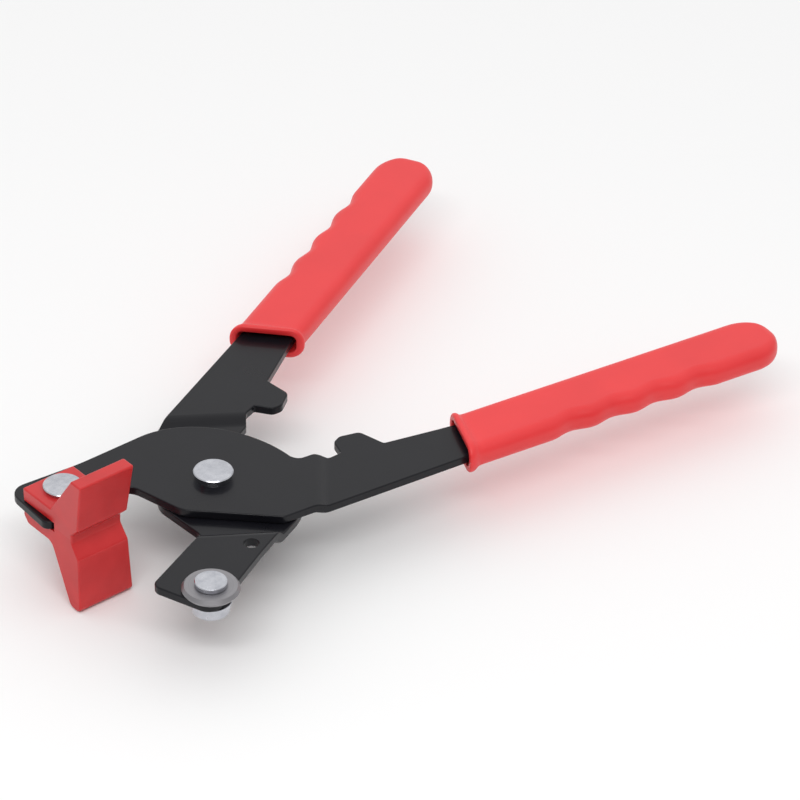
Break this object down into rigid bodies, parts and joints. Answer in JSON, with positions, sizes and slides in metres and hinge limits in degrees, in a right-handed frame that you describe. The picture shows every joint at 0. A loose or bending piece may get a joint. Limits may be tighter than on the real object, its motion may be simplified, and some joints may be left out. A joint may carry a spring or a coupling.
{
  "type": "tile cutting pliers",
  "caption": "Hand pliers for scoring and snapping ceramic tile: two pressed levers on a rivet, a scoring wheel on one jaw and a breaker block on the other.",
  "frame": {"origin": "on the axis of the pivot rivet, midway between the two levers' hubs", "axes": "+X along the tool's middle line towards the handles, +Z along the pivot's axis towards the rivet's head, +Y to the wheel lever's handle, at the open pose"},
  "size_m": [0.2087, 0.1482, 0.0416],
  "materials": {
    "black_paint": "gloss black paint",
    "red_grip": "smooth soft vinyl",
    "red_block": "moulded, semi gloss",
    "plated_steel": "bright zinc plate",
    "ground_carbide": "fine ground"
  },
  "bodies": {
    "breaker_side": {"breaker_lever": "black_paint", "breaker_grip": "red_grip", "pivot_rivet": "plated_steel", "block_rivet": "plated_steel"},
    "wheel_side": {"wheel_lever": "black_paint", "wheel_grip": "red_grip", "wheel_pin": "plated_steel"},
    "wheel": {"scoring_wheel": "ground_carbide"},
    "block": {"breaker_block": "red_block"}
  },
  "joints": [
    {"name": "main_pivot", "type": "hinge", "parent": "breaker_side", "child": "wheel_side", "pos_m": [0, 0, 0], "axis": [0, 0, 1], "range_deg": [-30, 14]},
    {"name": "wheel_spin", "type": "hinge", "parent": "wheel_side", "child": "wheel", "pos_m": [-0.038, -0.0346, 0.0034], "axis": [0, 0, 1], "continuous": true},
    {"name": "block_swivel", "type": "hinge", "parent": "breaker_side", "child": "block", "pos_m": [-0.03517, 0.02215, 0.0013], "axis": [0, 0, 1], "range_deg": [-4, 4]}
  ]
}
